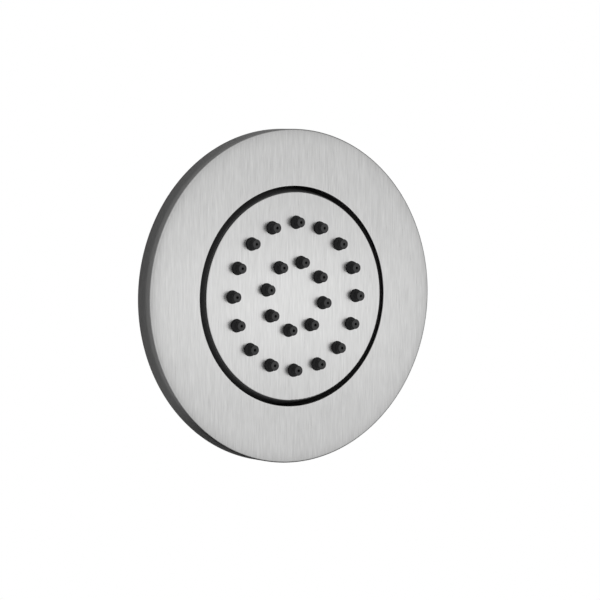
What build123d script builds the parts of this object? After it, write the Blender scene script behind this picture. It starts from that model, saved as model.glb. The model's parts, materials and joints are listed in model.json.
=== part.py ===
from build123d import *
import os
from math import acos, cos, hypot, pi, radians, sin, sqrt, tan

# Round shower body jet for a wall, in millimetres.
# The jet's axis is Y. The wall's surface is y = 0, water leaves towards -Y, and +Z is up.
# A spray head on a ball joint sits in a cup that is let into the wall, behind a steel trim plate.

# Trim plate
PLATE_DIAMETER = 110.0
PLATE_DEPTH = 7.7
PLATE_SHEET = 1.2
RIM_WALL = 1.4
PLATE_EDGE_ROUND = 1.0
PLATE_INNER_ROUND = 0.6
BORE_EDGE_ROUND = 0.3

# Spray face
FACE_DIAMETER = 68.5
FACE_GAP = 2.0
FACE_PROUD = 0.65
FACE_SHEET = 0.8
FACE_EDGE_ROUND = 0.25

# Nozzles: two rings, counted clockwise from the top as seen from the front
OUTER_RING_COUNT = 16
OUTER_RING_MARGIN = 9.9
INNER_RING_COUNT = 8
INNER_RING_TURN = 11.25
RING_SPACING = 13.0
NOZZLE_HEIGHT = 3.1
NOZZLE_COLLAR_HEIGHT = 0.75
NOZZLE_STEP_HEIGHT = 0.4
NOZZLE_COLLAR_RADIUS = 2.12
NOZZLE_TIP_RADIUS = 1.66
NOZZLE_SHOULDER_ROUND = 0.35
NOZZLE_TIP_ROUND = 0.35
NOZZLE_PLAY = 0.13
ORIFICE_RADIUS = 0.48
ORIFICE_LENGTH = 0.8
NOZZLE_FUNNEL_RADIUS = 0.9
NOZZLE_FUNNEL_LENGTH = 0.5
NOZZLE_INLET_RADIUS = 1.25

# Spray head, from the face backwards
FRAME_PLATE = 1.8
SKIRT_WALL = 1.3
MAT_SHEET = 1.2
MAT_MARGIN = 0.75
DISTRIBUTOR_THICKNESS = 1.8
FEED_HOLE_RADIUS = 1.0
CHAMBER_DEPTH = 3.0
CLAMP_LAND = 1.4
CHAMBER_WALL = 1.7
CHAMBER_ROUND = 0.8
SHELL_WALL = 2.0
SHELL_FLANGE = 3.0
SHELL_RIB_COUNT = 6
SHELL_RIB_WIDTH = 1.5
SHELL_RIB_HEIGHT = 1.5
SHELL_SEAL_SECTION = 1.2
SHELL_SEAL_LAND = 0.5
HEAD_FIT = 0.1

# Screws that close the spray head
HEAD_SCREW_COUNT = 6
HEAD_SCREW_RADIUS = 1.25
HEAD_SCREW_LENGTH = 6.0
HEAD_SCREW_HEAD_RADIUS = 1.85
HEAD_SCREW_HEAD_HEIGHT = 1.4
HEAD_SCREW_HEAD_ROUND = 0.5
HEAD_SCREW_SOCKET = 1.5
HEAD_SCREW_SOCKET_DEPTH = 0.7
HEAD_SCREW_PLAY = 0.15
PILOT_DEPTH = 0.4

# Ball joint
TILT_LIMIT = 10.0
BALL_RADIUS = 9.0
BALL_FLAT_ANGLE = 52.0
SEAT_THICKNESS = 1.74
SEAT_FIT = 0.06
SEAL_ANGLE = 58.0
RING_ANGLE = 60.0
SEAT_EDGE_GAP = 0.75
BALL_CLEARANCE = 0.3
SOCKET_LIP = 0.5
BOSS_WALL = 2.45
BOSS_BACK_LENGTH = 2.6

# Ring nut of the ball joint
NUT_WALL = 3.2
NUT_FRONT_GAP = 0.6
NUT_END_GAP = 0.3
NUT_BACK_LENGTH = 8.5
NUT_FRONT_ROUND = 0.5
NUT_BACK_ROUND = 1.0
NUT_FLUTE_COUNT = 12
NUT_FLUTE_RADIUS = 2.0
NUT_FLUTE_DEPTH = 0.9

# Ball stem
NECK_RADIUS = 5.0
NECK_CLEARANCE = 1.2
STEM_BORE_RADIUS = 3.2
STEM_KEY = 7.0
STEM_KEY_DEPTH = 6.0
STEM_CLEARANCE = 0.6
SHOULDER_RADIUS = 7.2
SHOULDER_THICKNESS = 3.0
SHOULDER_FLATS = 11.0
GLAND_RADIUS = 6.0
GLAND_LENGTH = 5.0
STEM_SEAL_SECTION = 1.1
STEM_THREAD_RADIUS = 5.5
STEM_THREAD_LENGTH = 5.5

# Inlet connector: a body thread for the lock nut, then a half inch pipe thread
BODY_THREAD_RADIUS = 12.0
BODY_THREAD_END = 1.0
PIPE_THREAD_RADIUS = 10.48
PIPE_THREAD_LENGTH = 14.0
PIPE_THREAD_CHAMFER = 0.8
CONNECTOR_SHOULDER = 1.5
CONNECTOR_HEX_THICKNESS = 4.5
SOCKET_END_GAP = 0.5
CONNECTOR_WEB = 2.5
CARTRIDGE_RADIUS = 7.5
STRAINER_RADIUS = 8.2
STRAINER_DEPTH = 2.5
WASHER_THICKNESS = 1.0
WASHER_MARGIN = 1.2
WASHER_PLAY = 0.2
LOCK_NUT_WALL = 3.0
LOCK_NUT_THICKNESS = 5.0
HEX_CHAMFER_ANGLE = 30.0

# Flow restrictor and strainer
RESTRICTOR_LENGTH = 6.0
RESTRICTOR_ORIFICE_RADIUS = 1.7
RESTRICTOR_DISH_RADIUS = 5.0
RESTRICTOR_DISH_DEPTH = 2.4
RESTRICTOR_SEAL_SECTION = 1.3
STRAINER_THICKNESS = 1.2
STRAINER_HOLE_RADIUS = 0.65
STRAINER_HOLE_SPACING = 2.2
STRAINER_RING_COUNTS = (1, 6, 12)

# Wall cup
CUP_CLEARANCE = 0.5
CUP_WALL = 2.0
CUP_FLOOR_THICKNESS = 3.0
CUP_SWEEP_ROOM = 1.5
COLLAR_CLEARANCE = 0.3
COLLAR_ROUND = 0.3
FLANGE_THICKNESS = 2.0
FLANGE_ROUND = 0.5
RIM_CLEARANCE = 1.0
SPANNER_ROOM = 3.5
CUP_RIB_COUNT = 8
CUP_RIB_WIDTH = 1.8
CUP_RIB_REACH = 6.0
CUP_RIB_END = 0.8
CONNECTOR_HOLE_PLAY = 0.2

# Fixing to the wall
GASKET_THICKNESS = 1.2
GASKET_WIDTH = 6.0
WALL_SCREW_COUNT = 4
WALL_SCREW_START = 45.0
WALL_SCREW_HOLE_RADIUS = 2.25

# Carrier that holds the trim plate on the cup's collar
SLEEVE_CLEARANCE = 0.25
SLEEVE_WALL = 1.8
SLEEVE_END_GAP = 0.3
CARRIER_FOOT_WIDTH = 2.2
CARRIER_FOOT_THICKNESS = 1.2
COLLAR_SEAL_SECTION = 1.4

# Fits shared by all pieces
THREAD_FIT = 0.05
SEAL_PLAY = 0.02
GROOVE_PLAY = 0.2

# Places along the axis, from the wall forwards
WALL = 0.0
PLATE_FRONT = WALL - PLATE_DEPTH
SHEET_BACK = PLATE_FRONT + PLATE_SHEET
FLANGE_BACK = WALL - GASKET_THICKNESS
FLANGE_FRONT = FLANGE_BACK - FLANGE_THICKNESS
COLLAR_FRONT = SHEET_BACK + COLLAR_CLEARANCE

# Places along the axis, from the spray face backwards
FACE_FRONT = PLATE_FRONT - FACE_PROUD
NOZZLE_TIP = FACE_FRONT - NOZZLE_HEIGHT
FACE_BACK = FACE_FRONT + FACE_SHEET
FRAME_FLOOR = FACE_BACK + FRAME_PLATE
MAT_BACK = FRAME_FLOOR + MAT_SHEET
SHELL_FRONT = MAT_BACK + DISTRIBUTOR_THICKNESS
CHAMBER_BACK = SHELL_FRONT + CHAMBER_DEPTH
SHELL_BACK = CHAMBER_BACK + SHELL_WALL
SHELL_FLANGE_BACK = SHELL_FRONT + SHELL_FLANGE
SKIRT_BACK = SHELL_FLANGE_BACK + HEAD_SCREW_HEAD_HEIGHT

# Radii of the spray head
FACE_RADIUS = FACE_DIAMETER / 2
SHELL_RADIUS = FACE_RADIUS - SKIRT_WALL - HEAD_FIT
OUTER_RING_RADIUS = FACE_RADIUS - OUTER_RING_MARGIN
INNER_RING_RADIUS = OUTER_RING_RADIUS - RING_SPACING
NOZZLE_HOLE_RADIUS = NOZZLE_COLLAR_RADIUS + NOZZLE_PLAY
MAT_RADIUS = OUTER_RING_RADIUS + NOZZLE_COLLAR_RADIUS + MAT_MARGIN
POCKET_RADIUS = MAT_RADIUS + HEAD_FIT
CHAMBER_RADIUS = MAT_RADIUS - CLAMP_LAND
CHAMBER_OUTER = CHAMBER_RADIUS + CHAMBER_WALL
SHELL_SEAL_RADIUS = POCKET_RADIUS + SHELL_SEAL_LAND + SHELL_SEAL_SECTION / 2
SHELL_GROOVE_HALF = SHELL_SEAL_SECTION / 2 + GROOVE_PLAY / 2
HEAD_SCREW_CIRCLE = (SHELL_SEAL_RADIUS + SHELL_GROOVE_HALF + SHELL_RADIUS) / 2

# Ball joint: the head tilts both ways at once, and nothing may meet on the way
FULL_TILT = acos(cos(radians(TILT_LIMIT)) ** 2)
SEAT_INNER = BALL_RADIUS + SEAT_FIT
SEAT_OUTER = SEAT_INNER + SEAT_THICKNESS
SOCKET_RADIUS = SEAT_OUTER + SEAT_FIT
BOSS_RADIUS = SOCKET_RADIUS + BOSS_WALL
BALL_FLAT = BALL_RADIUS * cos(radians(BALL_FLAT_ANGLE))
SEAL_FRONT = SEAT_OUTER * cos(radians(SEAL_ANGLE))
RING_BACK = SEAT_OUTER * cos(radians(RING_ANGLE))
SEAT_GAP = SEAT_OUTER * sin(radians(TILT_LIMIT)) / 2 + SEAT_EDGE_GAP
SEAL_SWEEP = SEAT_OUTER * cos(radians(SEAL_ANGLE - TILT_LIMIT))
BALL_SWEEP = BALL_RADIUS * cos(radians(BALL_FLAT_ANGLE) - FULL_TILT)
PIVOT = SHELL_FRONT + max(SEAL_SWEEP, BALL_SWEEP) + BALL_CLEARANCE
BOSS_FRONT = PIVOT - SEAL_FRONT - SOCKET_LIP
BOSS_BACK = PIVOT + BOSS_BACK_LENGTH
NUT_RADIUS = BOSS_RADIUS + NUT_WALL
NUT_FRONT = SHELL_BACK + NUT_FRONT_GAP
NUT_BACK = PIVOT + NUT_BACK_LENGTH
NUT_OPENING = NECK_RADIUS / cos(FULL_TILT) + NUT_BACK_LENGTH * tan(FULL_TILT) + NECK_CLEARANCE
NUT_SWEEP = NUT_BACK_LENGTH * cos(FULL_TILT) + NUT_RADIUS * sin(FULL_TILT)

# Hexagons that follow the connector's body thread
CONNECTOR_HEX = 2 * (BODY_THREAD_RADIUS + CONNECTOR_SHOULDER)
LOCK_NUT_HEX = 2 * (BODY_THREAD_RADIUS + LOCK_NUT_WALL)

# Stem and connector, from the ball backwards
SHOULDER_FRONT = PIVOT + NUT_SWEEP + STEM_CLEARANCE
CONNECTOR_FRONT = SHOULDER_FRONT + SHOULDER_THICKNESS
GLAND_BACK = CONNECTOR_FRONT + GLAND_LENGTH
STEM_BACK = GLAND_BACK + STEM_THREAD_LENGTH
HEX_BACK = CONNECTOR_FRONT + CONNECTOR_HEX_THICKNESS
CUP_FLOOR = HEX_BACK + WASHER_THICKNESS
CUP_BACK = CUP_FLOOR + CUP_FLOOR_THICKNESS
LOCK_NUT_BACK = CUP_BACK + LOCK_NUT_THICKNESS
BODY_THREAD_BACK = LOCK_NUT_BACK + BODY_THREAD_END
CONNECTOR_BACK = BODY_THREAD_BACK + PIPE_THREAD_LENGTH
SOCKET_BACK = STEM_BACK + SOCKET_END_GAP
RESTRICTOR_FRONT = SOCKET_BACK + CONNECTOR_WEB
RESTRICTOR_BACK = RESTRICTOR_FRONT + RESTRICTOR_LENGTH
STRAINER_FRONT = CONNECTOR_BACK - STRAINER_DEPTH
STEM_SEAL_PLACE = CONNECTOR_FRONT + GLAND_LENGTH / 2
RESTRICTOR_SEAL_PLACE = RESTRICTOR_FRONT + RESTRICTOR_LENGTH / 2

# Round side of the spray head: the sphere about the ball's centre through the face's front edge
HEAD_SPHERE = hypot(FACE_RADIUS, PIVOT - FACE_FRONT)
SKIRT_RADIUS = sqrt(HEAD_SPHERE**2 - (PIVOT - SKIRT_BACK) ** 2)
SKIRT_SWEEP = PIVOT + SKIRT_RADIUS * sin(FULL_TILT) - (PIVOT - SKIRT_BACK) * cos(FULL_TILT)

# Radii of the cup, the plate's bore and the carrier
PLATE_RADIUS = PLATE_DIAMETER / 2
PLATE_BORE_RADIUS = FACE_RADIUS + FACE_GAP
CUP_RADIUS = HEAD_SPHERE + CUP_CLEARANCE
CUP_OUTER = CUP_RADIUS + CUP_WALL
CUP_STRAIGHT_BACK = SKIRT_SWEEP + CUP_SWEEP_ROOM
CUP_FLOOR_RADIUS = LOCK_NUT_HEX / 2 / cos(pi / 6) + SPANNER_ROOM
FLANGE_RADIUS = PLATE_RADIUS - RIM_WALL - RIM_CLEARANCE
CONNECTOR_HOLE = BODY_THREAD_RADIUS + CONNECTOR_HOLE_PLAY
SLEEVE_INNER = CUP_OUTER + SLEEVE_CLEARANCE
SLEEVE_OUTER = SLEEVE_INNER + SLEEVE_WALL
SLEEVE_BACK = FLANGE_FRONT - SLEEVE_END_GAP
COLLAR_SEAL_PLACE = (COLLAR_FRONT + FLANGE_FRONT) / 2
WALL_SCREW_CIRCLE = (SLEEVE_OUTER + FLANGE_RADIUS) / 2


def turned(*corners):
    """Solid turned about the Y axis from corners of (radius, y) or (radius, y, rounding)."""
    points = [corner[:2] for corner in corners]
    rounds = [corner[2] if len(corner) > 2 else 0 for corner in corners]
    outline = FilletPolyline(*points, radius=rounds, close=True)
    return revolve(make_face(outline), Axis.Y)


def rod(radius, front, back):
    """Round bar on the Y axis."""
    return turned((0, front), (radius, front), (radius, back), (0, back))


def ring(inner, outer, front, back):
    """Flat ring on the Y axis."""
    return turned((inner, front), (outer, front), (outer, back), (inner, back))


def ball(radius):
    """Sphere about the ball joint's centre, with its poles on the Y axis."""
    return Pos(0, PIVOT, 0) * Rot(90, 0, 0) * Sphere(radius)


def o_ring(radius, place, section):
    """Rubber ring of round section, by the radius of its section's middle."""
    return revolve(Pos(radius, place) * Circle(section / 2), Axis.Y)


def hexagon(across_flats, front, back):
    """Six sided bar on the Y axis, with two flats level."""
    base = Plane((0, back, 0), x_dir=(1, 0, 0), z_dir=(0, -1, 0))
    outline = base * RegularPolygon(across_flats / 2, 6, major_radius=False)
    return extrude(outline, back - front)


def nut_blank(across_flats, front, back):
    """Hexagon with the corners of both faces turned off."""
    flat_radius = across_flats / 2
    corner_radius = flat_radius / cos(pi / 6)
    slope = (corner_radius - flat_radius) * tan(radians(HEX_CHAMFER_ANGLE))
    limit = turned(
        (0, front),
        (flat_radius, front),
        (corner_radius, front + slope),
        (corner_radius, back - slope),
        (flat_radius, back),
        (0, back),
    )
    return hexagon(across_flats, front, back) & limit


def around(count, radius, start=0.0):
    """Places on a circle about the Y axis, clockwise from the top as seen from the front."""
    angles = [radians(start + 360 * step / count) for step in range(count)]
    return [Pos(radius * sin(angle), 0, radius * cos(angle)) for angle in angles]


def spokes(count, start=0.0):
    """Turns about the Y axis that share out a full circle."""
    return [Rot(0, start + 360 * step / count, 0) for step in range(count)]


def nozzle_places():
    """Axes of all nozzles."""
    outer = around(OUTER_RING_COUNT, OUTER_RING_RADIUS)
    inner = around(INNER_RING_COUNT, INNER_RING_RADIUS, INNER_RING_TURN)
    return outer + inner


def head_screw_places():
    """Axes of the screws that close the spray head."""
    return around(HEAD_SCREW_COUNT, HEAD_SCREW_CIRCLE)


def wall_screw_holes(front, back):
    """Cutters for the wall screws."""
    hole = rod(WALL_SCREW_HOLE_RADIUS, front, back)
    return [place * hole for place in around(WALL_SCREW_COUNT, WALL_SCREW_CIRCLE, WALL_SCREW_START)]


def nozzle_holes(radius, front, back):
    """Cutters on the axes of all nozzles."""
    hole = rod(radius, front, back)
    return [place * hole for place in nozzle_places()]


def trim_plate():
    """Pressed steel plate with its rim turned back to the wall."""
    rim_inner = PLATE_RADIUS - RIM_WALL
    return turned(
        (PLATE_BORE_RADIUS, PLATE_FRONT, BORE_EDGE_ROUND),
        (PLATE_RADIUS, PLATE_FRONT, PLATE_EDGE_ROUND),
        (PLATE_RADIUS, WALL),
        (rim_inner, WALL),
        (rim_inner, SHEET_BACK, PLATE_INNER_ROUND),
        (PLATE_BORE_RADIUS, SHEET_BACK),
    )


def plate_carrier():
    """Ring bonded behind the trim plate, with a sleeve that slides over the cup's collar."""
    foot_radius = SLEEVE_OUTER + CARRIER_FOOT_WIDTH
    foot_back = SHEET_BACK + CARRIER_FOOT_THICKNESS
    return turned(
        (SLEEVE_INNER, SHEET_BACK),
        (foot_radius, SHEET_BACK),
        (foot_radius, foot_back),
        (SLEEVE_OUTER, foot_back),
        (SLEEVE_OUTER, SLEEVE_BACK),
        (SLEEVE_INNER, SLEEVE_BACK),
    )


def collar_groove():
    """Inner radius, front and back of the groove round the cup's collar."""
    half = (COLLAR_SEAL_SECTION + GROOVE_PLAY) / 2
    floor = SLEEVE_INNER - COLLAR_SEAL_SECTION - 2 * SEAL_PLAY
    return floor, COLLAR_SEAL_PLACE - half, COLLAR_SEAL_PLACE + half


def collar_o_ring():
    """Rubber ring that grips the carrier's sleeve."""
    radius = SLEEVE_INNER - SEAL_PLAY - COLLAR_SEAL_SECTION / 2
    return o_ring(radius, COLLAR_SEAL_PLACE, COLLAR_SEAL_SECTION)


def cup_ribs():
    """Webs that stiffen the cup's cone from outside."""
    wall_middle = CUP_WALL / 2
    web = make_face(
        Polyline(
            (CUP_RADIUS + wall_middle, CUP_STRAIGHT_BACK),
            (CUP_FLOOR_RADIUS + CUP_WALL + CUP_RIB_REACH, CUP_FLOOR),
            (CUP_FLOOR_RADIUS + wall_middle, CUP_BACK - CUP_RIB_END),
            (CUP_FLOOR_RADIUS + wall_middle, CUP_FLOOR),
            close=True,
        )
    )
    rib = extrude(web, CUP_RIB_WIDTH / 2, both=True)
    return [turn * rib for turn in spokes(CUP_RIB_COUNT, 180 / CUP_RIB_COUNT)]


def recess_cup():
    """Moulded cup let into the wall, with its collar, flange and floor."""
    groove_floor, groove_front, groove_back = collar_groove()
    cone_outer = CUP_FLOOR_RADIUS + CUP_WALL
    cup = turned(
        (CUP_RADIUS, COLLAR_FRONT),
        (CUP_OUTER, COLLAR_FRONT, COLLAR_ROUND),
        (CUP_OUTER, groove_front),
        (groove_floor, groove_front),
        (groove_floor, groove_back),
        (CUP_OUTER, groove_back),
        (CUP_OUTER, FLANGE_FRONT),
        (FLANGE_RADIUS, FLANGE_FRONT, FLANGE_ROUND),
        (FLANGE_RADIUS, FLANGE_BACK),
        (CUP_OUTER, FLANGE_BACK),
        (CUP_OUTER, CUP_STRAIGHT_BACK),
        (cone_outer, CUP_BACK),
        (CONNECTOR_HOLE, CUP_BACK),
        (CONNECTOR_HOLE, CUP_FLOOR),
        (CUP_FLOOR_RADIUS, CUP_FLOOR),
        (CUP_RADIUS, CUP_STRAIGHT_BACK),
    )
    cup += cup_ribs()
    return cup - wall_screw_holes(FLANGE_FRONT, FLANGE_BACK)


def wall_gasket():
    """Foam ring under the flange, along the wall screws."""
    inner = WALL_SCREW_CIRCLE - GASKET_WIDTH / 2
    gasket = ring(inner, inner + GASKET_WIDTH, FLANGE_BACK, WALL)
    return gasket - wall_screw_holes(FLANGE_BACK, WALL)


def inlet_connector():
    """Turned brass connector: hexagon inside the cup, threads for the nut and the pipe behind it."""
    connector = nut_blank(CONNECTOR_HEX, CONNECTOR_FRONT, HEX_BACK)
    connector += turned(
        (0, CONNECTOR_FRONT),
        (BODY_THREAD_RADIUS, CONNECTOR_FRONT),
        (BODY_THREAD_RADIUS, BODY_THREAD_BACK),
        (PIPE_THREAD_RADIUS, BODY_THREAD_BACK),
        (PIPE_THREAD_RADIUS, CONNECTOR_BACK - PIPE_THREAD_CHAMFER),
        (PIPE_THREAD_RADIUS - PIPE_THREAD_CHAMFER, CONNECTOR_BACK),
        (0, CONNECTOR_BACK),
    )
    return connector - turned(
        (0, CONNECTOR_FRONT),
        (GLAND_RADIUS + THREAD_FIT, CONNECTOR_FRONT),
        (GLAND_RADIUS + THREAD_FIT, GLAND_BACK),
        (STEM_THREAD_RADIUS + THREAD_FIT, GLAND_BACK),
        (STEM_THREAD_RADIUS + THREAD_FIT, SOCKET_BACK),
        (STEM_BORE_RADIUS, SOCKET_BACK),
        (STEM_BORE_RADIUS, RESTRICTOR_FRONT),
        (CARTRIDGE_RADIUS, RESTRICTOR_FRONT),
        (CARTRIDGE_RADIUS, STRAINER_FRONT),
        (STRAINER_RADIUS, STRAINER_FRONT),
        (STRAINER_RADIUS, CONNECTOR_BACK),
        (0, CONNECTOR_BACK),
    )


def connector_washer():
    """Washer between the connector's hexagon and the cup's floor."""
    inner = BODY_THREAD_RADIUS + WASHER_PLAY
    return ring(inner, CONNECTOR_HEX / 2 + WASHER_MARGIN, HEX_BACK, CUP_FLOOR)


def lock_nut():
    """Nut that pulls the connector against the cup."""
    blank = nut_blank(LOCK_NUT_HEX, CUP_BACK, LOCK_NUT_BACK)
    return blank - rod(BODY_THREAD_RADIUS + THREAD_FIT, CUP_BACK, LOCK_NUT_BACK)


def flow_restrictor():
    """Cartridge with a small orifice, sealed in the connector's bore."""
    outer = CARTRIDGE_RADIUS - THREAD_FIT
    groove_floor = CARTRIDGE_RADIUS - RESTRICTOR_SEAL_SECTION - 2 * SEAL_PLAY
    groove_half = (RESTRICTOR_SEAL_SECTION + GROOVE_PLAY) / 2
    dish_front = RESTRICTOR_BACK - RESTRICTOR_DISH_DEPTH
    return turned(
        (RESTRICTOR_ORIFICE_RADIUS, RESTRICTOR_FRONT),
        (outer, RESTRICTOR_FRONT),
        (outer, RESTRICTOR_SEAL_PLACE - groove_half),
        (groove_floor, RESTRICTOR_SEAL_PLACE - groove_half),
        (groove_floor, RESTRICTOR_SEAL_PLACE + groove_half),
        (outer, RESTRICTOR_SEAL_PLACE + groove_half),
        (outer, RESTRICTOR_BACK),
        (RESTRICTOR_DISH_RADIUS, RESTRICTOR_BACK),
        (RESTRICTOR_ORIFICE_RADIUS, dish_front),
    )


def restrictor_o_ring():
    """Rubber ring round the flow restrictor."""
    radius = CARTRIDGE_RADIUS - SEAL_PLAY - RESTRICTOR_SEAL_SECTION / 2
    return o_ring(radius, RESTRICTOR_SEAL_PLACE, RESTRICTOR_SEAL_SECTION)


def inlet_strainer():
    """Perforated disc in the connector's mouth."""
    back = STRAINER_FRONT + STRAINER_THICKNESS
    disc = rod(STRAINER_RADIUS - THREAD_FIT, STRAINER_FRONT, back)
    hole = rod(STRAINER_HOLE_RADIUS, STRAINER_FRONT, back)
    holes = []
    for step, count in enumerate(STRAINER_RING_COUNTS):
        holes += [place * hole for place in around(count, step * STRAINER_HOLE_SPACING)]
    return disc - holes


def stem_groove_floor():
    """Radius at the bottom of the groove round the stem's gland."""
    return GLAND_RADIUS + THREAD_FIT - STEM_SEAL_SECTION - 2 * SEAL_PLAY


def ball_stem():
    """Hollow brass ball on a neck, with its shoulder, sealing gland and thread."""
    stem = ball(BALL_RADIUS)
    stem += turned(
        (0, PIVOT),
        (NECK_RADIUS, PIVOT),
        (NECK_RADIUS, SHOULDER_FRONT),
        (SHOULDER_RADIUS, SHOULDER_FRONT),
        (SHOULDER_RADIUS, CONNECTOR_FRONT),
        (GLAND_RADIUS, CONNECTOR_FRONT),
        (GLAND_RADIUS, GLAND_BACK),
        (STEM_THREAD_RADIUS, GLAND_BACK),
        (STEM_THREAD_RADIUS, STEM_BACK),
        (0, STEM_BACK),
    )
    ball_front = PIVOT - BALL_FLAT
    stem -= rod(BALL_RADIUS, PIVOT - BALL_RADIUS, ball_front)
    stem -= rod(STEM_BORE_RADIUS, ball_front, STEM_BACK)
    stem -= hexagon(STEM_KEY, ball_front, ball_front + STEM_KEY_DEPTH)
    groove_half = (STEM_SEAL_SECTION + GROOVE_PLAY) / 2
    stem -= ring(
        stem_groove_floor(),
        GLAND_RADIUS,
        STEM_SEAL_PLACE - groove_half,
        STEM_SEAL_PLACE + groove_half,
    )
    side = SHOULDER_RADIUS - SHOULDER_FLATS / 2
    middle = (SHOULDER_FRONT + CONNECTOR_FRONT) / 2
    flat = Box(side, SHOULDER_THICKNESS, 2 * SHOULDER_RADIUS)
    offset = SHOULDER_FLATS / 2 + side / 2
    return stem - [Pos(offset, middle, 0) * flat, Pos(-offset, middle, 0) * flat]


def stem_o_ring():
    """Rubber ring round the stem's gland."""
    radius = stem_groove_floor() + SEAL_PLAY + STEM_SEAL_SECTION / 2
    return o_ring(radius, STEM_SEAL_PLACE, STEM_SEAL_SECTION)


def ball_seat(front, back):
    """Ring of a hollow sphere between two planes."""
    return (ball(SEAT_OUTER) & rod(SEAT_OUTER, front, back)) - ball(SEAT_INNER)


def ball_seal():
    """Front seat of the ball, which also seals the water."""
    return ball_seat(PIVOT - SEAL_FRONT, PIVOT - SEAT_GAP)


def friction_ring():
    """Rear seat of the ball."""
    return ball_seat(PIVOT + SEAT_GAP, PIVOT + RING_BACK)


def ball_nut():
    """Fluted ring nut that closes the ball socket from behind."""
    nut = turned(
        (BOSS_RADIUS + THREAD_FIT, NUT_FRONT),
        (NUT_RADIUS, NUT_FRONT, NUT_FRONT_ROUND),
        (NUT_RADIUS, NUT_BACK, NUT_BACK_ROUND),
        (NUT_OPENING, NUT_BACK),
        (NUT_OPENING, BOSS_BACK + NUT_END_GAP),
        (BOSS_RADIUS + THREAD_FIT, BOSS_BACK + NUT_END_GAP),
    )
    flute = rod(NUT_FLUTE_RADIUS, NUT_FRONT, NUT_BACK)
    flute_circle = NUT_RADIUS + NUT_FLUTE_RADIUS - NUT_FLUTE_DEPTH
    flutes = [place * flute for place in around(NUT_FLUTE_COUNT, flute_circle)]
    return nut - ball(SOCKET_RADIUS) - flutes


def shell_ribs():
    """Webs on the back of the shell, between the nut and the chamber's wall."""
    start = NUT_RADIUS + NUT_FRONT_GAP
    length = CHAMBER_OUTER - CHAMBER_ROUND - start
    web = Box(SHELL_RIB_WIDTH, SHELL_RIB_HEIGHT, length)
    rib = Pos(0, SHELL_BACK + SHELL_RIB_HEIGHT / 2, start + length / 2) * web
    return [turn * rib for turn in spokes(SHELL_RIB_COUNT, 180 / SHELL_RIB_COUNT)]


def back_shell():
    """Moulded back of the spray head: water chamber, flange and ball socket."""
    shell = turned(
        (0, SHELL_FRONT),
        (SHELL_RADIUS, SHELL_FRONT),
        (SHELL_RADIUS, SHELL_FLANGE_BACK),
        (CHAMBER_OUTER, SHELL_FLANGE_BACK),
        (CHAMBER_OUTER, SHELL_BACK, CHAMBER_ROUND),
        (BOSS_RADIUS, SHELL_BACK),
        (BOSS_RADIUS, BOSS_BACK),
        (0, BOSS_BACK),
    )
    shell += shell_ribs()
    shell -= turned(
        (0, SHELL_FRONT),
        (CHAMBER_RADIUS, SHELL_FRONT),
        (CHAMBER_RADIUS, CHAMBER_BACK, CHAMBER_ROUND),
        (BOSS_RADIUS, CHAMBER_BACK),
        (BOSS_RADIUS, BOSS_FRONT),
        (0, BOSS_FRONT),
    )
    shell -= ball(SOCKET_RADIUS)
    shell -= rod(SOCKET_RADIUS, PIVOT, BOSS_BACK)
    shell -= ring(
        SHELL_SEAL_RADIUS - SHELL_GROOVE_HALF,
        SHELL_SEAL_RADIUS + SHELL_GROOVE_HALF,
        SHELL_FRONT,
        SHELL_FRONT + SHELL_SEAL_SECTION + 2 * SEAL_PLAY,
    )
    hole = rod(HEAD_SCREW_RADIUS + HEAD_SCREW_PLAY, SHELL_FRONT, SHELL_FLANGE_BACK)
    return shell - [place * hole for place in head_screw_places()]


def shell_o_ring():
    """Rubber ring between the back shell and the nozzle frame."""
    place = SHELL_FRONT + SEAL_PLAY + SHELL_SEAL_SECTION / 2
    return o_ring(SHELL_SEAL_RADIUS, place, SHELL_SEAL_SECTION)


def shell_screws():
    """Small socket screws, driven from behind into the nozzle frame."""
    head_back = SHELL_FLANGE_BACK + HEAD_SCREW_HEAD_HEIGHT
    screw = turned(
        (0, SHELL_FLANGE_BACK - HEAD_SCREW_LENGTH),
        (HEAD_SCREW_RADIUS, SHELL_FLANGE_BACK - HEAD_SCREW_LENGTH),
        (HEAD_SCREW_RADIUS, SHELL_FLANGE_BACK),
        (HEAD_SCREW_HEAD_RADIUS, SHELL_FLANGE_BACK),
        (HEAD_SCREW_HEAD_RADIUS, head_back, HEAD_SCREW_HEAD_ROUND),
        (0, head_back),
    )
    screw -= hexagon(HEAD_SCREW_SOCKET, head_back - HEAD_SCREW_SOCKET_DEPTH, head_back)
    return Compound([place * screw.solid() for place in head_screw_places()])


def distributor_plate():
    """Plate that clamps the nozzle mat and feeds each nozzle."""
    plate = rod(MAT_RADIUS, MAT_BACK, SHELL_FRONT)
    return plate - nozzle_holes(FEED_HOLE_RADIUS, MAT_BACK, SHELL_FRONT)


def nozzle_frame():
    """Moulded frame behind the face, with a pocket for the mat and a ball-shaped skirt round the shell."""
    skirt_inner = SHELL_RADIUS + HEAD_FIT
    frame = turned(
        (0, FACE_BACK),
        (HEAD_SPHERE, FACE_BACK),
        (HEAD_SPHERE, SKIRT_BACK),
        (SKIRT_RADIUS - SKIRT_WALL, SKIRT_BACK),
        (skirt_inner, SHELL_FLANGE_BACK),
        (skirt_inner, SHELL_FRONT),
        (POCKET_RADIUS, SHELL_FRONT),
        (POCKET_RADIUS, FRAME_FLOOR),
        (0, FRAME_FLOOR),
    )
    frame &= ball(HEAD_SPHERE)
    pilot_front = SHELL_FLANGE_BACK - HEAD_SCREW_LENGTH - PILOT_DEPTH
    pilot = rod(HEAD_SCREW_RADIUS + SEAL_PLAY, pilot_front, SHELL_FRONT)
    frame -= [place * pilot for place in head_screw_places()]
    return frame - nozzle_holes(NOZZLE_HOLE_RADIUS, FACE_BACK, FRAME_FLOOR)


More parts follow.
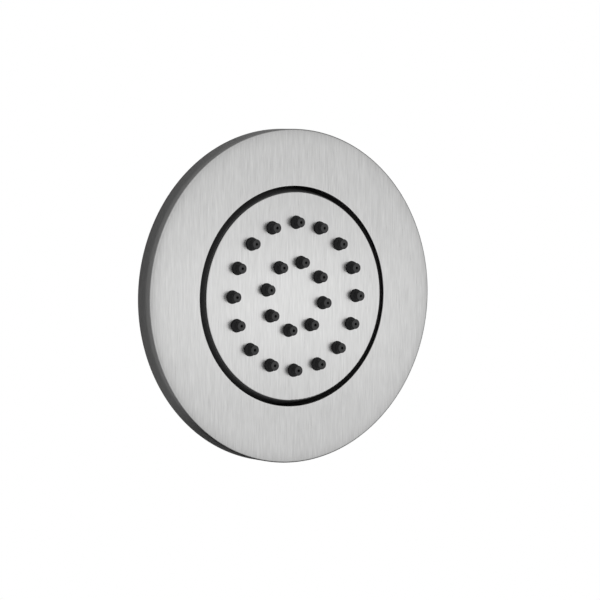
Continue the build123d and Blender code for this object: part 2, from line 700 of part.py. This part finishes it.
def nozzle_mat():
    """One silicone moulding: a sheet with a hollow rubber nozzle at each place."""
    collar_top = FACE_FRONT - NOZZLE_COLLAR_HEIGHT
    nozzle = turned(
        (0, NOZZLE_TIP),
        (NOZZLE_TIP_RADIUS, NOZZLE_TIP, NOZZLE_TIP_ROUND),
        (NOZZLE_TIP_RADIUS, collar_top - NOZZLE_STEP_HEIGHT),
        (NOZZLE_COLLAR_RADIUS, collar_top, NOZZLE_SHOULDER_ROUND),
        (NOZZLE_COLLAR_RADIUS, MAT_BACK),
        (0, MAT_BACK),
    )
    orifice_back = NOZZLE_TIP + ORIFICE_LENGTH
    water_way = turned(
        (0, NOZZLE_TIP),
        (ORIFICE_RADIUS, NOZZLE_TIP),
        (ORIFICE_RADIUS, orifice_back),
        (NOZZLE_FUNNEL_RADIUS, orifice_back + NOZZLE_FUNNEL_LENGTH),
        (NOZZLE_INLET_RADIUS, MAT_BACK),
        (0, MAT_BACK),
    )
    mat = rod(MAT_RADIUS, FRAME_FLOOR, MAT_BACK)
    mat += [place * nozzle for place in nozzle_places()]
    return mat - [place * water_way for place in nozzle_places()]


def face_plate():
    """Steel spray face with a hole for each nozzle."""
    face = turned(
        (0, FACE_FRONT),
        (FACE_RADIUS, FACE_FRONT, FACE_EDGE_ROUND),
        (FACE_RADIUS, FACE_BACK),
        (0, FACE_BACK),
    )
    return face - nozzle_holes(NOZZLE_HOLE_RADIUS, FACE_FRONT, FACE_BACK)


PIECES = (
    trim_plate,
    plate_carrier,
    collar_o_ring,
    recess_cup,
    wall_gasket,
    inlet_connector,
    connector_washer,
    lock_nut,
    flow_restrictor,
    restrictor_o_ring,
    inlet_strainer,
    ball_stem,
    stem_o_ring,
    ball_seal,
    friction_ring,
    ball_nut,
    back_shell,
    shell_o_ring,
    shell_screws,
    distributor_plate,
    nozzle_frame,
    nozzle_mat,
    face_plate,
)

os.makedirs("parts", exist_ok=True)
for piece in PIECES:
    export_step(piece(), f"parts/{piece.__name__}.step")
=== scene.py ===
import json
from math import cos, hypot, pi, radians, sin

import bmesh
import bpy
from mathutils import Matrix, Vector


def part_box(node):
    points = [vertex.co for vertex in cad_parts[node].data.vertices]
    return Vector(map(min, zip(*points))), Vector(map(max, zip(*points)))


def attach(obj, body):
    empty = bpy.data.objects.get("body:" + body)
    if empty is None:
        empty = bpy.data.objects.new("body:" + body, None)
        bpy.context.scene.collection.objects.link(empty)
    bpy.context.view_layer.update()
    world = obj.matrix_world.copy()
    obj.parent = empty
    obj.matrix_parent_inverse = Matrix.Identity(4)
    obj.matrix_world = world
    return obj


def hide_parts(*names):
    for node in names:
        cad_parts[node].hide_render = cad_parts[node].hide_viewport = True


# Looks of a round shower body jet, in metres, in the frame of its solids:
# the jet's axis is Y, the wall's surface is y = 0, water leaves towards -Y and +Z is up.

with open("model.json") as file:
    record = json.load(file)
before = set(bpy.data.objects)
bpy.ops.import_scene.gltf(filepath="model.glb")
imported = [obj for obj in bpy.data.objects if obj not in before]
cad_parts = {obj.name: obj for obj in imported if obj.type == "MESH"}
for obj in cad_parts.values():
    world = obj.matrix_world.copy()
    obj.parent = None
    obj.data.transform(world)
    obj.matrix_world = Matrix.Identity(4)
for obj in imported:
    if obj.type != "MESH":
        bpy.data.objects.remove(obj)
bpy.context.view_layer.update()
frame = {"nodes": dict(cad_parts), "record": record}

MILLIMETRE = 0.001
FULL_TURN = 2 * pi
BLACK = (0.0, 0.0, 0.0, 1.0)
WHITE = (1.0, 1.0, 1.0, 1.0)

# Camera, aimed close to the middle of the trim plate's front, with its lens and sensor in millimetres
VIEW_AZIMUTH = radians(-33.85)
VIEW_ELEVATION = radians(2.64)
VIEW_ROLL = radians(1.0)
VIEW_DISTANCE = 1.01
VIEW_LENS = 184.2
SENSOR_WIDTH = 36.0
AIM_RIGHT = 2.07 * MILLIMETRE
AIM_UP = -1.24 * MILLIMETRE

# World: its strength to the camera and in reflections, and as a fill on the object
WORLD_SEEN = 1.0
WORLD_FILL = 0.36

# Soft boxes, in metres and watts
KEY_PLACE = (0.85, -0.95, 0.55)
KEY_SIZE = 0.6
KEY_POWER = 8.5
FRONT_DISTANCE = 1.0
FRONT_SIZE = 0.1
FRONT_POWER = 4.0
BACK_PLACE = (-0.8, 1.0, 0.8)
BACK_SIZE = 0.8
BACK_POWER = 14.0
STRIP_PLACE = (0.086, -0.15, -0.011)
STRIP_WIDTH = 0.08
STRIP_HEIGHT = 0.045
STRIP_POWER = 0.0063

# Dark cloth that shows only in reflections, and the direction in which it gets lighter
CLOTH_LIGHT_SIDE = (-0.707, 0.0, 0.707)
CLOTH_STEPS = 48

# Flag: a dome of cloth behind the object, by angles from +Y, full at its core and clear at its edge
FLAG_RADIUS = 1.6
FLAG_CORE = radians(80)
FLAG_EDGE = radians(112)
FLAG_RINGS = 12
FLAG_DARK_END = -0.5 * FLAG_RADIUS
FLAG_LIGHT_END = -0.25 * FLAG_RADIUS
FLAG_DARK = 0.0
FLAG_LIGHT = 0.215

# Card: a ring of cloth close behind the trim plate's rim, clear at its outer edge
CARD_BEHIND = 3.0 * MILLIMETRE
CARD_REACH = 4.5 * MILLIMETRE
CARD_WIDTH = 9.5 * MILLIMETRE
CARD_FADE = 5.0 * MILLIMETRE
CARD_DARK_END = -10.0 * MILLIMETRE
CARD_LIGHT_END = 5.0 * MILLIMETRE
CARD_DARK = 0.065
CARD_LIGHT = 0.14

# Floor below the object, which fades out from a share of its radius to its edge
FLOOR_DROP = 0.30
FLOOR_RADIUS = 0.55
FLOOR_FADE = 0.4
FLOOR_STEPS = 96
FLOOR_DARK = (0.82, 0.82, 0.82)
FLOOR_LIGHT = (0.832, 0.832, 0.832)
FLOOR_CLOUDS = 30
FLOOR_DETAIL = 3.0
FLOOR_ROUGHNESS = 0.9
FLOOR_SPECULAR = 0.1

# Noise: the part of its range that colours and roughness spread over, and its detail
NOISE_LOW = 0.3
NOISE_HIGH = 0.7
NOISE_ROUGHNESS = 0.5
GRAIN_DETAIL = 2.0
CLOUD_DETAIL = 4.0

# Places of the colour sockets on a Mix node, whose names repeat
MIX_FIRST = 6
MIX_SECOND = 7
MIX_RESULT = 2

# Scale that leaves only what lies across the Y axis
ACROSS_AXIS = (1.0, 0.0, 1.0)

# Brushed steel: streaks in features per metre, which lean a little off upright
BRUSH_LEAN = radians(1.5)
BROAD_STREAKS = (1900, 1900, 110)
BROAD_DETAIL = 3.0
BROAD_ROUGHNESS = 0.65
FINE_STREAKS = (3400, 3400, 220)
FINE_SHARE = 0.5
STEEL_DARK = (0.47, 0.47, 0.468)
STEEL_LIGHT = (0.622, 0.622, 0.619)
STEEL_SMOOTH = 0.27
STEEL_ROUGH = 0.34
STEEL_ANISOTROPY = 0.05
STEEL_RELIEF = 0.004 * MILLIMETRE
STEEL_RELIEF_STRENGTH = 0.5

# Radii between which painted shade darkens the steel's colour towards the edge of the trim plate's
# front
EDGE_SHADE_START = 45.0 * MILLIMETRE
EDGE_SHADE_END = 54.3 * MILLIMETRE
EDGE_SHADE_CURVE = 4.0
EDGE_SHADE_SHARE = 0.16

# Silicone, with a painted highlight: a paler colour to a small depth on the nozzles' tips, whose
# front faces catch the lamps
SILICONE_DARK = (0.011, 0.011, 0.0115)
SILICONE_LIGHT = (0.015, 0.015, 0.0155)
TIP_HIGHLIGHT_DARK = (0.034, 0.034, 0.0345)
TIP_HIGHLIGHT_LIGHT = (0.042, 0.042, 0.0425)
TIP_HIGHLIGHT_DEPTH = 0.08 * MILLIMETRE
SILICONE_CLOUDS = 400
SILICONE_GRAIN = 4000
SILICONE_SMOOTH = 0.58
SILICONE_ROUGH = 0.7
SILICONE_RELIEF = 0.006 * MILLIMETRE
SILICONE_SPECULAR = 0.14

# Plastic, rubber and foam from a mould, with the size and depth of their grain
MOULDED_CLOUDS = 180
MOULDED_SPREAD = 0.06
MOULDED = {
    "black_plastic": {
        "dark": (0.028, 0.028, 0.0285),
        "light": (0.036, 0.036, 0.0365),
        "roughness": 0.5,
        "grain_size": 0.35 * MILLIMETRE,
        "depth": 0.02 * MILLIMETRE,
        "specular": 0.25,
    },
    "acetal": {
        "dark": (0.76, 0.76, 0.73),
        "light": (0.82, 0.82, 0.79),
        "roughness": 0.35,
        "grain_size": 0.5 * MILLIMETRE,
        "depth": 0.006 * MILLIMETRE,
        "specular": 0.5,
    },
    "seal_rubber": {
        "dark": (0.016, 0.016, 0.016),
        "light": (0.022, 0.022, 0.022),
        "roughness": 0.55,
        "grain_size": 0.3 * MILLIMETRE,
        "depth": 0.01 * MILLIMETRE,
        "specular": 0.5,
    },
    "gasket_foam": {
        "dark": (0.062, 0.062, 0.064),
        "light": (0.077, 0.077, 0.079),
        "roughness": 0.9,
        "grain_size": 0.5 * MILLIMETRE,
        "depth": 0.15 * MILLIMETRE,
        "specular": 0.5,
    },
}

# Turned metals, with the rings that the lathe leaves, in features per metre
TURNED_RINGS = 6000
TURNED_CLOUDS = 250
TURNED_SPREAD = 0.07
TURNED_RELIEF = 0.01 * MILLIMETRE
TURNED_RELIEF_STRENGTH = 0.4
TURNED_METALLIC = 0.7
TURNED = {
    "brass": {"dark": (0.56, 0.405, 0.165), "light": (0.65, 0.48, 0.215), "roughness": 0.28},
    "stainless": {"dark": (0.56, 0.56, 0.55), "light": (0.63, 0.63, 0.62), "roughness": 0.3},
}

# Section of the trim plate, which is turned here in even steps so that its edge reflects evenly
PLATE_BORE_RADIUS = 36.25 * MILLIMETRE
PLATE_SHEET = 1.2 * MILLIMETRE
PLATE_RIM_WALL = 1.4 * MILLIMETRE
PLATE_EDGE_ROUND = 1.0 * MILLIMETRE
PLATE_INNER_ROUND = 0.6 * MILLIMETRE
PLATE_BORE_ROUND = 0.3 * MILLIMETRE
PLATE_STEPS = 256
ROUND_STEPS = 12
ROUND_GUARD = 0.03 * MILLIMETRE

# Threads of the inlet connector: a half inch pipe thread, and the body thread for the lock nut
PIPE_LENGTH = 14.0 * MILLIMETRE
PIPE_THREAD = {
    "radius": 10.48 * MILLIMETRE,
    "chamfer": 0.8 * MILLIMETRE,
    "pitch": 1.814 * MILLIMETRE,
    "depth": 1.1 * MILLIMETRE,
}
BODY_LENGTH = 10.0 * MILLIMETRE
BODY_THREAD = {
    "radius": 12.0 * MILLIMETRE,
    "chamfer": 0.0,
    "pitch": 1.5 * MILLIMETRE,
    "depth": 0.85 * MILLIMETRE,
}

# Thread meshing: rows in a pitch, the shares of a pitch that are flat and that fade in, and how far
# along Y the normal of a side may lean
THREAD_ROWS = 16
THREAD_COLUMNS = 128
THREAD_FLAT = 0.12
THREAD_FADE = 0.5
SIDE_LEAN = 0.9

SHARP_ANGLE = radians(30)
WELD = 0.001 * MILLIMETRE


class Graph:
    """Emptied node tree of a material or a world, with short ways to fill it."""

    def __init__(self, owner):
        owner.use_nodes = True
        self.owner = owner
        self.nodes = owner.node_tree.nodes
        self.links = owner.node_tree.links
        self.nodes.clear()

    def add(self, kind, sockets=None, **settings):
        """New node, whose sockets are linked to other nodes' outputs or set to plain values."""
        node = self.nodes.new(kind)
        for name, value in settings.items():
            setattr(node, name, value)
        for socket, value in (sockets or {}).items():
            if isinstance(value, bpy.types.NodeSocket):
                self.links.new(value, node.inputs[socket])
            else:
                node.inputs[socket].default_value = value
        return node

    def place(self):
        """Object coordinates."""
        return self.add("ShaderNodeTexCoord").outputs["Object"]

    def stretched(self, place, scale):
        """Coordinates with a scale of their own along each axis."""
        return self.add("ShaderNodeMapping", {"Vector": place, "Scale": scale}).outputs["Vector"]

    def level(self, place):
        """Level along the Y axis."""
        return self.add("ShaderNodeSeparateXYZ", {"Vector": place}).outputs["Y"]

    def radius(self, place):
        """Distance from the Y axis."""
        return self.measured("LENGTH", self.stretched(place, ACROSS_AXIS))

    def measured(self, operation, *vectors):
        """Number worked out from vectors."""
        node = self.add("ShaderNodeVectorMath", dict(enumerate(vectors)), operation=operation)
        return node.outputs["Value"]

    def worked(self, operation, *values):
        """Number worked out from numbers."""
        node = self.add("ShaderNodeMath", dict(enumerate(values)), operation=operation)
        return node.outputs["Value"]

    def ranged(self, value, start, end, low=0.0, high=1.0, curve="LINEAR"):
        """Number taken from one range to another, and held at the ends."""
        sockets = {"Value": value, "From Min": start, "From Max": end, "To Min": low, "To Max": high}
        return self.add("ShaderNodeMapRange", sockets, interpolation_type=curve).outputs["Result"]

    def noise(self, place, scale=1.0, detail=GRAIN_DETAIL, roughness=NOISE_ROUGHNESS):
        """Grey noise from 0 to 1, its scale in features per metre."""
        sockets = {"Vector": place, "Scale": scale, "Detail": detail, "Roughness": roughness}
        return self.add("ShaderNodeTexNoise", sockets).outputs["Fac"]

    def spread(self, noise, low, high):
        """The middle of a noise, spread between two numbers."""
        return self.ranged(noise, NOISE_LOW, NOISE_HIGH, low, high)

    def shaded(self, noise, dark, light):
        """The middle of a noise, spread between two colours."""
        ramp = self.add("ShaderNodeValToRGB", {"Fac": noise})
        first, second = ramp.color_ramp.elements
        first.position = NOISE_LOW
        first.color = (*dark, 1.0)
        second.position = NOISE_HIGH
        second.color = (*light, 1.0)
        return ramp.outputs["Color"]

    def mixed(self, share, first, second):
        """Colour between two."""
        sockets = {"Factor": share, MIX_FIRST: first, MIX_SECOND: second}
        return self.add("ShaderNodeMix", sockets, data_type="RGBA").outputs[MIX_RESULT]

    def blended(self, share, first, second):
        """Shader between two."""
        sockets = dict(enumerate((share, first, second)))
        return self.add("ShaderNodeMixShader", sockets).outputs["Shader"]

    def relief(self, height, depth, strength=1.0):
        """Normal with bumps of a depth."""
        sockets = {"Height": height, "Distance": depth, "Strength": strength}
        return self.add("ShaderNodeBump", sockets).outputs["Normal"]

    def principled(self, sockets):
        """Ends a material with a Principled shader, and gives the material."""
        shader = self.add("ShaderNodeBsdfPrincipled", sockets)
        self.add("ShaderNodeOutputMaterial", {"Surface": shader.outputs["BSDF"]})
        return self.owner


def new_graph(name):
    """Graph of a new material, with its object coordinates."""
    graph = Graph(bpy.data.materials.new(name))
    return graph, graph.place()


def painted_edge_shade(graph, place, colour):
    """The colour, darkened with painted shade towards the edge of the trim plate's front."""
    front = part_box("trim_plate")[0].y
    near_edge = graph.ranged(graph.radius(place), EDGE_SHADE_START, EDGE_SHADE_END)
    on_front = graph.ranged(graph.level(place), front, front + PLATE_EDGE_ROUND, EDGE_SHADE_SHARE, 0.0)
    share = graph.worked("MULTIPLY", graph.worked("POWER", near_edge, EDGE_SHADE_CURVE), on_front)
    return graph.mixed(share, colour, BLACK)


def brushed_steel(name):
    """Satin steel with fine, nearly upright brushing."""
    graph, place = new_graph(name)
    lean = {"Vector": place, "Angle": BRUSH_LEAN}
    leaning = graph.add("ShaderNodeVectorRotate", lean, rotation_type="Y_AXIS").outputs["Vector"]
    broad_place = graph.stretched(leaning, BROAD_STREAKS)
    broad = graph.noise(broad_place, detail=BROAD_DETAIL, roughness=BROAD_ROUGHNESS)
    fine = graph.noise(graph.stretched(leaning, FINE_STREAKS))
    broad_part = graph.worked("MULTIPLY", broad, 1 - FINE_SHARE)
    grain = graph.worked("MULTIPLY_ADD", fine, FINE_SHARE, broad_part)
    tangent = graph.add("ShaderNodeTangent", direction_type="RADIAL", axis="Z")
    return graph.principled({
        # Base colour with painted shade towards the edge of the trim plate's front
        "Base Color": painted_edge_shade(graph, place, graph.shaded(grain, STEEL_DARK, STEEL_LIGHT)),
        "Metallic": 1.0,
        "Roughness": graph.spread(grain, STEEL_SMOOTH, STEEL_ROUGH),
        "Normal": graph.relief(fine, STEEL_RELIEF, STEEL_RELIEF_STRENGTH),
        "Anisotropic": STEEL_ANISOTROPY,
        "Tangent": tangent.outputs["Tangent"],
    })


def silicone(name):
    """Black silicone, painted paler on the front of the tips as a highlight where the lamps fall on
    them.
    """
    graph, place = new_graph(name)
    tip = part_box("nozzle_mat")[0].y
    tip_highlight = graph.ranged(graph.level(place), tip + TIP_HIGHLIGHT_DEPTH, tip)
    cloud = graph.noise(place, SILICONE_CLOUDS, CLOUD_DETAIL)
    grain = graph.noise(place, SILICONE_GRAIN)
    body = graph.shaded(cloud, SILICONE_DARK, SILICONE_LIGHT)
    tip_highlight_colour = graph.shaded(cloud, TIP_HIGHLIGHT_DARK, TIP_HIGHLIGHT_LIGHT)
    return graph.principled({
        # The paler colour on the tips' front faces is a painted highlight
        "Base Color": graph.mixed(tip_highlight, body, tip_highlight_colour),
        "Roughness": graph.spread(grain, SILICONE_SMOOTH, SILICONE_ROUGH),
        "Normal": graph.relief(grain, SILICONE_RELIEF),
        "Specular IOR Level": SILICONE_SPECULAR,
    })


def moulded(name, dark, light, roughness, grain_size, depth, specular):
    """Plastic, rubber or foam from a mould, with a fine grain."""
    graph, place = new_graph(name)
    cloud = graph.noise(place, MOULDED_CLOUDS, CLOUD_DETAIL)
    grain = graph.noise(place, 1 / grain_size)
    return graph.principled({
        "Base Color": graph.shaded(cloud, dark, light),
        "Roughness": graph.spread(grain, roughness - MOULDED_SPREAD, roughness + MOULDED_SPREAD),
        "Normal": graph.relief(grain, depth),
        "Specular IOR Level": specular,
    })


def turned_metal(name, dark, light, roughness):
    """Metal with the fine rings that a lathe leaves round the Y axis."""
    graph, place = new_graph(name)
    section = {"X": graph.radius(place), "Y": graph.level(place)}
    rings = graph.noise(graph.add("ShaderNodeCombineXYZ", section).outputs["Vector"], TURNED_RINGS)
    cloud = graph.noise(place, TURNED_CLOUDS, CLOUD_DETAIL)
    return graph.principled({
        "Base Color": graph.shaded(cloud, dark, light),
        "Metallic": TURNED_METALLIC,
        "Roughness": graph.spread(rings, roughness - TURNED_SPREAD, roughness + TURNED_SPREAD),
        "Normal": graph.relief(rings, TURNED_RELIEF, TURNED_RELIEF_STRENGTH),
    })


def finishes():
    """One material for each slot of the record."""
    made = {"brushed_steel": brushed_steel("brushed_steel"), "silicone": silicone("silicone")}
    for name, look in MOULDED.items():
        made[name] = moulded(name, **look)
    for name, look in TURNED.items():
        made[name] = turned_metal(name, **look)
    return made


def dress(materials):
    """Gives each CAD node the finish that its record names."""
    for row in frame["record"]["subparts"]:
        for slot in frame["nodes"][row["node"]].material_slots:
            slot.material = materials[row["material_slot"]]


def add_mesh(name, shape, material):
    """New mesh object with one material, from a bmesh that ends here."""
    mesh = bpy.data.meshes.new(name)
    shape.to_mesh(mesh)
    shape.free()
    mesh.materials.append(material)
    made = bpy.data.objects.new(name, mesh)
    bpy.context.scene.collection.objects.link(made)
    return made


def add_piece(name, shape, material, node):
    """New piece on the wall unit that stands for a CAD node."""
    bmesh.ops.recalc_face_normals(shape, faces=shape.faces)
    piece = add_mesh(name, shape, material)
    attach(piece, "wall_unit")
    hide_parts(node)


def add_ring(shape, level, radii):
    """Points in even steps round the Y axis, each at its own radius."""
    ring = []
    for step, radius in enumerate(radii):
        turn = FULL_TURN * step / len(radii)
        ring.append(shape.verts.new((radius * cos(turn), level, radius * sin(turn))))
    return ring


def join_rings(shape, rings):
    """Faces between each ring of points and the next."""
    faces = []
    for near, far in zip(rings, rings[1:]):
        for step in range(len(near)):
            faces.append(shape.faces.new((near[step - 1], near[step], far[step], far[step - 1])))
    return faces


def soften(shape):
    """Smooth shading, with sharp edges kept sharp."""
    for edge in shape.edges:
        edge.smooth = edge.calc_face_angle() < SHARP_ANGLE
    for face in shape.faces:
        face.smooth = True


def rounded_section(corners):
    """Section of (radius, y) points from square corners of (radius, y, rounding)."""
    points = []
    for index, (radius, level, rounding) in enumerate(corners):
        corner = Vector((radius, level))
        if rounding == 0.0:
            points.append(corner)
            continue
        before = (Vector(corners[index - 1][:2]) - corner).normalized()
        after = (Vector(corners[(index + 1) % len(corners)][:2]) - corner).normalized()
        centre = corner + (before + after) * rounding
        points.append(corner + before * (rounding + ROUND_GUARD))
        for step in range(ROUND_STEPS + 1):
            turn = pi / 2 * step / ROUND_STEPS
            points.append(centre - (after * cos(turn) + before * sin(turn)) * rounding)
        points.append(corner + after * (rounding + ROUND_GUARD))
    return points


def add_turned_plate(material):
    """The trim plate, turned about Y in even steps."""
    low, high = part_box("trim_plate")
    front, wall, outer = low.y, high.y, high.x
    back, inner = front + PLATE_SHEET, outer - PLATE_RIM_WALL
    section = rounded_section((
        (PLATE_BORE_RADIUS, front, PLATE_BORE_ROUND),
        (outer, front, PLATE_EDGE_ROUND),
        (outer, wall, 0.0),
        (inner, wall, 0.0),
        (inner, back, PLATE_INNER_ROUND),
        (PLATE_BORE_RADIUS, back, 0.0),
    ))
    shape = bmesh.new()
    rings = [add_ring(shape, level, [radius] * PLATE_STEPS) for radius, level in section]
    join_rings(shape, rings + rings[:1])
    soften(shape)
    add_piece("turned_trim_plate", shape, material, "trim_plate")


def clear_side(shape, radius, low, high, reach):
    """Deletes the faces on the side of a cylinder round Y, between two levels."""
    old = []
    for face in shape.faces:
        middle = face.calc_center_median()
        near_side = abs(hypot(middle.x, middle.z) - radius) < reach
        if near_side and abs(face.normal.y) < SIDE_LEAN and low < middle.y < high:
            old.append(face)
    bmesh.ops.delete(shape, geom=old, context="FACES")


def open_edges(shape, level):
    """Open edges of a mesh that lie at one level along Y."""
    edges = []
    for edge in shape.edges:
        ends = (edge.verts[0].co.y, edge.verts[1].co.y)
        if len(edge.link_faces) == 1 and max(abs(end - level) for end in ends) < WELD:
            edges.append(edge)
    return edges


def groove(share):
    """Depth of a thread, 0 at its crest and 1 at its root, by the share of a pitch."""
    height = (abs(2 * share - 1) - THREAD_FLAT) / (1 - 2 * THREAD_FLAT)
    height = min(max(height, 0.0), 1.0)
    return 1 - height * height * (3 - 2 * height)


def cut_thread(shape, low, high, radius, chamfer, pitch, depth):
    """Puts a screw thread into the side of a cylinder round Y, between two levels."""
    clear_side(shape, radius, low, high, chamfer + depth)
    rows = round((high - low) / pitch * THREAD_ROWS)
    rings = []
    for row in range(1, rows):
        level = low + (high - low) * row / rows
        fade = min(1.0, min(level - low, high - level) / (THREAD_FADE * pitch))
        outside = radius - max(0.0, level - high + chamfer)
        radii = []
        for column in range(THREAD_COLUMNS):
            cut = radius - depth * groove((level / pitch + column / THREAD_COLUMNS) % 1.0)
            radii.append(outside - fade * max(0.0, outside - cut))
        rings.append(add_ring(shape, level, radii))
    sides = join_rings(shape, rings)
    for ring, level in ((rings[0], low), (rings[-1], high)):
        own = [shape.edges.get((ring[step], ring[step - 1])) for step in range(THREAD_COLUMNS)]
        joined = bmesh.ops.bridge_loops(shape, edges=own + open_edges(shape, level))
        sides.extend(joined["faces"])
    for face in sides:
        face.smooth = True


def add_threaded_connector(material):
    """The inlet connector with its two screw threads cut."""
    shape = bmesh.new()
    shape.from_mesh(frame["nodes"]["inlet_connector"].data)
    bmesh.ops.remove_doubles(shape, verts=shape.verts, dist=WELD)
    soften(shape)
    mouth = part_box("inlet_connector")[1].y
    shoulder = mouth - PIPE_LENGTH
    cut_thread(shape, shoulder, mouth, **PIPE_THREAD)
    cut_thread(shape, shoulder - BODY_LENGTH, shoulder, **BODY_THREAD)
    add_piece("threaded_connector", shape, material, "inlet_connector")


def camera_axes():
    """The camera's right, up and back directions."""
    back = Vector((
        sin(VIEW_AZIMUTH) * cos(VIEW_ELEVATION),
        -cos(VIEW_AZIMUTH) * cos(VIEW_ELEVATION),
        sin(VIEW_ELEVATION),
    ))
    level = Vector((cos(VIEW_AZIMUTH), sin(VIEW_AZIMUTH), 0.0))
    upright = back.cross(level)
    right = level * cos(VIEW_ROLL) + upright * sin(VIEW_ROLL)
    return right, back.cross(right), back


def add_camera():
    """Long lens at the photograph's angle."""
    right, up, back = camera_axes()
    plate_front = Vector((0.0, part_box("trim_plate")[0].y, 0.0))
    aim = plate_front + right * AIM_RIGHT + up * AIM_UP
    data = bpy.data.cameras.new("camera")
    data.lens = VIEW_LENS
    data.sensor_width = SENSOR_WIDTH
    camera = bpy.data.objects.new("camera", data)
    camera.location = aim + back * VIEW_DISTANCE
    camera.rotation_mode = "QUATERNION"
    camera.rotation_quaternion = Matrix((right, up, back)).transposed().to_quaternion()
    bpy.context.scene.collection.objects.link(camera)
    bpy.context.scene.camera = camera


def add_world():
    """White to the camera and in reflections, and a softer fill on the object."""
    world = bpy.data.worlds.new("studio")
    bpy.context.scene.world = world
    graph = Graph(world)
    path = graph.add("ShaderNodeLightPath")
    shown = path.outputs["Is Camera Ray"]
    for kind in ("Is Glossy Ray", "Is Transmission Ray"):
        shown = graph.worked("MAXIMUM", shown, path.outputs[kind])
    fill = graph.add("ShaderNodeBackground", {"Color": WHITE, "Strength": WORLD_FILL})
    seen = graph.add("ShaderNodeBackground", {"Color": WHITE, "Strength": WORLD_SEEN})
    both = graph.blended(shown, fill.outputs["Background"], seen.outputs["Background"])
    graph.add("ShaderNodeOutputWorld", {"Surface": both})


def add_lamp(name, place, width, height, power):
    """Soft box aimed at the object, out of the camera's sight."""
    data = bpy.data.lights.new(name, "AREA")
    data.shape = "RECTANGLE"
    data.size = width
    data.size_y = height
    data.energy = power
    lamp = bpy.data.objects.new(name, data)
    lamp.location = place
    lamp.rotation_mode = "QUATERNION"
    lamp.rotation_quaternion = (-Vector(place)).to_track_quat("-Z", "Y")
    lamp.visible_camera = False
    bpy.context.scene.collection.objects.link(lamp)
    return lamp


def add_lights():
    """Key from the front right, fills from the front and behind, and a strip that only glints."""
    front = camera_axes()[2] * FRONT_DISTANCE
    for lamp in (
        add_lamp("key", KEY_PLACE, KEY_SIZE, KEY_SIZE, KEY_POWER),
        add_lamp("front", front, FRONT_SIZE, FRONT_SIZE, FRONT_POWER),
        add_lamp("back", BACK_PLACE, BACK_SIZE, BACK_SIZE, BACK_POWER),
    ):
        lamp.visible_glossy = False
    strip = add_lamp("strip", STRIP_PLACE, STRIP_WIDTH, STRIP_HEIGHT, STRIP_POWER)
    strip.visible_diffuse = False


def cloth_material(name, shade, fade_by, clear_at, full_at):
    """Dark cloth, darkest at the lower right, that fades out by its level or its radius."""
    graph, place = new_graph(name)
    tone = graph.ranged(graph.measured("DOT_PRODUCT", place, CLOTH_LIGHT_SIDE), *shade)
    cloth = graph.add("ShaderNodeEmission", {"Strength": tone})
    clear = graph.add("ShaderNodeBsdfTransparent")
    fade = graph.ranged(fade_by(graph, place), clear_at, full_at, curve="SMOOTHSTEP")
    both = graph.blended(fade, clear.outputs["BSDF"], cloth.outputs["Emission"])
    graph.add("ShaderNodeOutputMaterial", {"Surface": both})
    return graph.owner


def reflect_only(piece):
    """Keeps a piece of the studio out of sight and of the light, except in reflections."""
    piece.visible_camera = False
    piece.visible_diffuse = False
    piece.visible_shadow = False


def add_flag():
    """Dome of dark cloth behind the object, seen only in its reflections."""
    shape = bmesh.new()
    rings = []
    for ring in range(1, FLAG_RINGS + 1):
        tilt = FLAG_EDGE * ring / FLAG_RINGS
        radii = [FLAG_RADIUS * sin(tilt)] * CLOTH_STEPS
        rings.append(add_ring(shape, FLAG_RADIUS * cos(tilt), radii))
    join_rings(shape, rings)
    top = shape.verts.new((0.0, FLAG_RADIUS, 0.0))
    for step in range(CLOTH_STEPS):
        shape.faces.new((top, rings[0][step - 1], rings[0][step]))
    shade = (FLAG_DARK_END, FLAG_LIGHT_END, FLAG_DARK, FLAG_LIGHT)
    clear_at = FLAG_RADIUS * cos(FLAG_EDGE)
    full_at = FLAG_RADIUS * cos(FLAG_CORE)
    material = cloth_material("flag", shade, Graph.level, clear_at, full_at)
    reflect_only(add_mesh("flag", shape, material))


def add_card():
    """Dark ring that darkens the back of the rim in reflection, as a wall does."""
    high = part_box("trim_plate")[1]
    outer = high.x + CARD_REACH
    shape = bmesh.new()
    join_rings(shape, [
        add_ring(shape, high.y + CARD_BEHIND, [radius] * CLOTH_STEPS)
        for radius in (outer - CARD_WIDTH, outer)
    ])
    shade = (CARD_DARK_END, CARD_LIGHT_END, CARD_DARK, CARD_LIGHT)
    material = cloth_material("card", shade, Graph.radius, outer, outer - CARD_FADE)
    reflect_only(add_mesh("card", shape, material))


def floor_material(name):
    """Pale floor that fades out towards its edge."""
    graph, place = new_graph(name)
    cloud = graph.noise(place, FLOOR_CLOUDS, FLOOR_DETAIL)
    away = graph.measured("LENGTH", place)
    full_at = FLOOR_FADE * FLOOR_RADIUS
    return graph.principled({
        "Base Color": graph.shaded(cloud, FLOOR_DARK, FLOOR_LIGHT),
        "Roughness": FLOOR_ROUGHNESS,
        "Specular IOR Level": FLOOR_SPECULAR,
        "Alpha": graph.ranged(away, FLOOR_RADIUS, full_at, curve="SMOOTHSTEP"),
    })


def add_floor():
    """Round pale floor below the object."""
    shape = bmesh.new()
    bmesh.ops.create_circle(shape, cap_ends=True, radius=FLOOR_RADIUS, segments=FLOOR_STEPS)
    floor = add_mesh("floor", shape, floor_material("floor"))
    floor.location.z = -FLOOR_DROP
    floor.visible_glossy = False


bpy.context.scene.view_settings.view_transform = "Standard"
materials = finishes()
dress(materials)
add_turned_plate(materials["brushed_steel"])
add_threaded_connector(materials["brass"])
add_camera()
add_world()
add_lights()
add_flag()
add_card()
add_floor()
